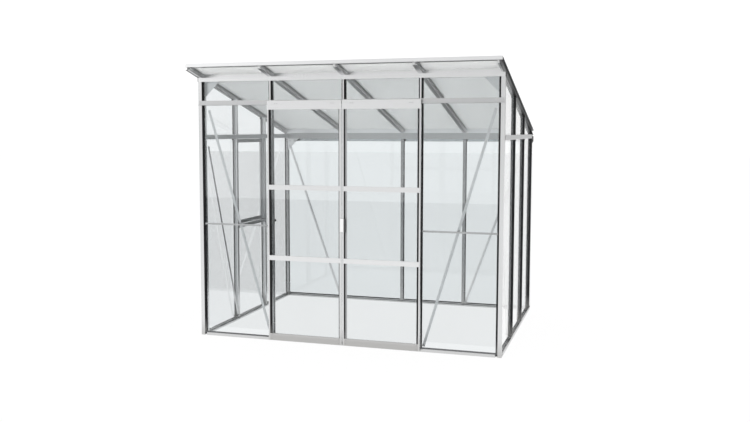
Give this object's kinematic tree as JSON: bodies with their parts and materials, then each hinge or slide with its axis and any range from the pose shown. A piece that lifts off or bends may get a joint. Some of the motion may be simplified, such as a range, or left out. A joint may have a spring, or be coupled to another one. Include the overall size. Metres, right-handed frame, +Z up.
{
  "type": "pent-roof greenhouse",
  "caption": "Free-standing aluminium greenhouse with a pent roof, glazed walls, translucent roof sheets and two sliding door leaves in its tall front wall.",
  "frame": {"origin": "centre of the bounding box at ground level, under the middle of the footprint", "axes": "+X along the front wall to the right as seen from outside the doors, +Y from the door wall to the rear wall, +Z up"},
  "size_m": [2.61, 2.235, 2.3206],
  "materials": {
    "frame_aluminium": "mill finish, satin",
    "wall_glass": "clear float glass",
    "roof_sheet": "translucent twin-wall sheet",
    "seal_rubber": "matt black",
    "end_cap": "matt black",
    "pipe_plastic": "satin grey",
    "roller_nylon": "white nylon",
    "handle_plastic": "satin white"
  },
  "bodies": {
    "root": {"base_sills": "frame_aluminium", "corner_gussets": "frame_aluminium", "corner_posts": "frame_aluminium", "door_track": "frame_aluminium", "downpipe": "pipe_plastic", "eave_end_caps": "end_cap", "front_eave_beam": "frame_aluminium", "front_glazing_bars": "frame_aluminium", "front_seals": "seal_rubber", "front_transom": "frame_aluminium", "front_wall_glass": "wall_glass", "gutter_end_caps": "end_cap", "gutter_outlet": "end_cap", "pane_seam_strips": "frame_aluminium", "pipe_collar": "handle_plastic", "rear_eave_beam": "frame_aluminium", "rear_glazing_bars": "frame_aluminium", "rear_gutter": "frame_aluminium", "rear_seals": "seal_rubber", "rear_wall_glass": "wall_glass", "roof_bar_seals": "seal_rubber", "roof_bars": "frame_aluminium", "roof_edge_bars": "frame_aluminium", "roof_fascia": "frame_aluminium", "roof_panels": "roof_sheet", "side_glazing_bars": "frame_aluminium", "side_rails": "frame_aluminium", "side_seals": "seal_rubber", "side_wall_glass": "wall_glass", "vent_crossbar": "frame_aluminium", "vent_frame": "frame_aluminium", "vent_glass": "wall_glass", "vent_knob": "end_cap", "vent_stay": "frame_aluminium", "wall_braces": "frame_aluminium"},
    "left_door": {"left_door_glass": "wall_glass", "left_door_handle": "handle_plastic", "left_door_header": "frame_aluminium", "left_door_rails": "frame_aluminium", "left_door_rollers": "roller_nylon", "left_door_seals": "seal_rubber", "left_door_stiles": "frame_aluminium"},
    "right_door": {"right_door_glass": "wall_glass", "right_door_handle": "end_cap", "right_door_header": "frame_aluminium", "right_door_rails": "frame_aluminium", "right_door_rollers": "roller_nylon", "right_door_seals": "seal_rubber", "right_door_stiles": "frame_aluminium"}
  },
  "joints": [
    {"name": "left_door_slide", "type": "slide", "parent": "root", "child": "left_door", "axis": [-1, 0, 0], "range_m": [0, 0.6]},
    {"name": "right_door_slide", "type": "slide", "parent": "root", "child": "right_door", "axis": [1, 0, 0], "range_m": [0, 0.6]}
  ]
}
